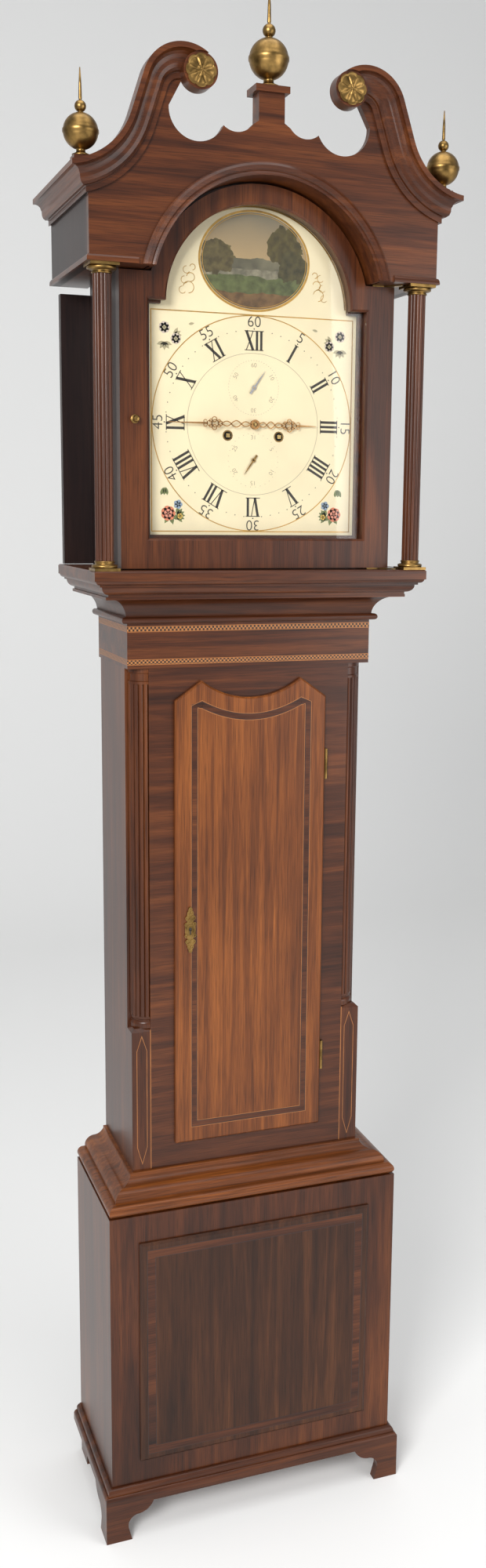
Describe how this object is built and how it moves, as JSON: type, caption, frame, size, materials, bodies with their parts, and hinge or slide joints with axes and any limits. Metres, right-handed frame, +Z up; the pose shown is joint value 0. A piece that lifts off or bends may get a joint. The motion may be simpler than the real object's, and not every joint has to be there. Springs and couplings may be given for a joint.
{
  "type": "longcase clock",
  "caption": "Longcase clock with a swan-neck hood, arched painted dial behind a glazed door, fluted columns, a shaped trunk door, a pendulum, weights and a geared movement.",
  "frame": {"origin": "on the floor, under the middle of the bounding box", "axes": "+Z up; the dial faces -Y; +X to the right seen from the front"},
  "size_m": [0.5838, 0.28, 2.34],
  "materials": {
    "mahogany": "french polished, dark red-brown",
    "oak": "waxed oak, orange-brown",
    "dark_wood": "dark, glossy polish",
    "pine": "plain aged boards",
    "brass": "aged brass",
    "steel": "bright steel",
    "blued_steel": "blued, nearly black",
    "dial_paint": "cream enamel paint",
    "glass": "clear",
    "lead": "plain dark casting",
    "gut": "twisted line",
    "bell_metal": "cast bell metal"
  },
  "bodies": {
    "case": {"backboard": "pine", "base_boards": "mahogany", "base_panel": "oak", "base_top_moulding": "oak", "plinth_moulding": "mahogany", "bracket_feet": "mahogany", "trunk_front": "mahogany", "trunk_sides": "mahogany", "corner_blocks": "mahogany", "quarter_columns": "mahogany", "trunk_frieze": "mahogany", "throat_moulding": "mahogany", "seatboard": "pine", "case_hinge_leaves": "brass", "dial_plate": "dial_paint", "movement_frame": "brass", "back_cock": "brass", "bell": "bell_metal", "upper_lines": "gut", "going_line": "gut", "strike_line": "gut"},
    "hood": {"hood_base_frame": "mahogany", "hood_sides": "dark_wood", "hood_soffits": "mahogany", "hood_roof": "pine", "dial_mask": "mahogany", "hood_front_board": "mahogany", "frieze_mouldings": "mahogany", "swan_necks": "mahogany", "side_cornices": "mahogany", "finial_blocks": "mahogany", "hood_brasses": "brass", "hood_columns": "mahogany"},
    "hood_door": {"hood_door": "mahogany", "hood_glass": "glass", "glazing_beads": "mahogany", "hood_door_brasses": "brass"},
    "trunk_door": {"trunk_door": "oak", "door_hinge_leaves": "brass", "escutcheon": "brass", "door_lock": "steel"},
    "bolt": {"lock_bolt": "steel"},
    "centre_arbor": {"centre_wheel": "brass", "minute_hand": "blued_steel"},
    "great_wheel": {"going_great_wheel": "brass"},
    "third_arbor": {"third_wheel": "brass"},
    "escape_arbor": {"escape_wheel": "brass", "seconds_hand": "blued_steel"},
    "motion_wheel": {"minute_wheel": "brass"},
    "hour_pipe": {"hour_wheel": "brass", "hour_hand": "blued_steel"},
    "date": {"date_hand": "blued_steel"},
    "going_drum": {"going_barrel": "brass"},
    "strike_drum": {"strike_barrel": "brass"},
    "pallets": {"anchor": "steel"},
    "pendulum": {"pendulum_rod": "steel", "pendulum_bob": "brass"},
    "going_load": {"going_weight": "lead"},
    "strike_load": {"strike_weight": "lead"},
    "hammer_arm": {"hammer": "steel"}
  },
  "joints": [
    {"name": "hood_slide", "type": "slide", "parent": "case", "child": "hood", "axis": [0, -1, 0], "range_m": [0, 0.27]},
    {"name": "hood_door_hinge", "type": "hinge", "parent": "hood", "child": "hood_door", "pos_m": [0.212, -0.094, 1.754], "axis": [0, 0, 1], "range_deg": [0, 100]},
    {"name": "trunk_door_hinge", "type": "hinge", "parent": "case", "child": "trunk_door", "pos_m": [0.125, -0.045, 1], "axis": [0, 0, 1], "range_deg": [0, 110]},
    {"name": "lock_bolt_slide", "type": "slide", "parent": "trunk_door", "child": "bolt", "axis": [-1, 0, 0], "range_m": [0, 0.008]},
    {"name": "pendulum_swing", "type": "hinge", "parent": "case", "child": "pendulum", "pos_m": [0, 0.062, 1.8383], "axis": [0, 1, 0], "range_deg": [-3, 3]},
    {"name": "anchor_rock", "type": "hinge", "parent": "case", "child": "pallets", "pos_m": [0, 0.032, 1.8383], "axis": [0, 1, 0], "range_deg": [-3, 3]},
    {"name": "minute_hand_turn", "type": "hinge", "parent": "case", "child": "centre_arbor", "pos_m": [0, 0.014, 1.757], "axis": [0, 1, 0], "continuous": true},
    {"name": "great_wheel_turn", "type": "hinge", "parent": "case", "child": "great_wheel", "pos_m": [0.04, 0.039, 1.7405], "axis": [0, 1, 0], "continuous": true},
    {"name": "third_wheel_turn", "type": "hinge", "parent": "case", "child": "third_arbor", "pos_m": [0.011, 0.014, 1.7856], "axis": [0, 1, 0], "continuous": true},
    {"name": "escape_wheel_turn", "type": "hinge", "parent": "case", "child": "escape_arbor", "pos_m": [0, 0.014, 1.81], "axis": [0, 1, 0], "continuous": true},
    {"name": "minute_wheel_turn", "type": "hinge", "parent": "case", "child": "motion_wheel", "pos_m": [0.0162, -0.028, 1.72894], "axis": [0, 1, 0], "continuous": true},
    {"name": "hour_hand_turn", "type": "hinge", "parent": "case", "child": "hour_pipe", "pos_m": [0, -0.04, 1.757], "axis": [0, 1, 0], "continuous": true},
    {"name": "date_hand_turn", "type": "hinge", "parent": "case", "child": "date", "pos_m": [0, -0.047, 1.7055], "axis": [0, 1, 0], "continuous": true},
    {"name": "going_weight_drop", "type": "slide", "parent": "case", "child": "going_load", "axis": [0, 0, -1], "range_m": [-0.25, 0.75], "deforming": ["going_line"]},
    {"name": "strike_weight_drop", "type": "slide", "parent": "case", "child": "strike_load", "axis": [0, 0, -1], "range_m": [-0.25, 0.75], "deforming": ["strike_line"]},
    {"name": "going_barrel_turn", "type": "hinge", "parent": "case", "child": "going_drum", "pos_m": [0.04, 0.014, 1.7405], "axis": [0, 1, 0], "range_deg": [-1200, 3500]},
    {"name": "strike_barrel_turn", "type": "hinge", "parent": "case", "child": "strike_drum", "pos_m": [-0.04, 0.014, 1.7405], "axis": [0, 1, 0], "range_deg": [-3500, 1200]},
    {"name": "hammer_swing", "type": "hinge", "parent": "case", "child": "hammer_arm", "pos_m": [0.07, 0.014, 1.817], "axis": [0, 1, 0], "range_deg": [0, 12]}
  ],
  "couplings": [
    {"joint": "anchor_rock", "follows": "pendulum_swing", "ratio": 1},
    {"joint": "great_wheel_turn", "follows": "minute_hand_turn", "ratio": -0.083333},
    {"joint": "third_wheel_turn", "follows": "minute_hand_turn", "ratio": -7.5},
    {"joint": "escape_wheel_turn", "follows": "minute_hand_turn", "ratio": 60},
    {"joint": "minute_wheel_turn", "follows": "minute_hand_turn", "ratio": -1},
    {"joint": "hour_hand_turn", "follows": "minute_hand_turn", "ratio": 0.083333},
    {"joint": "going_barrel_turn", "follows": "going_weight_drop", "rad_per_m": 79.365},
    {"joint": "strike_barrel_turn", "follows": "strike_weight_drop", "rad_per_m": -79.365}
  ]
}
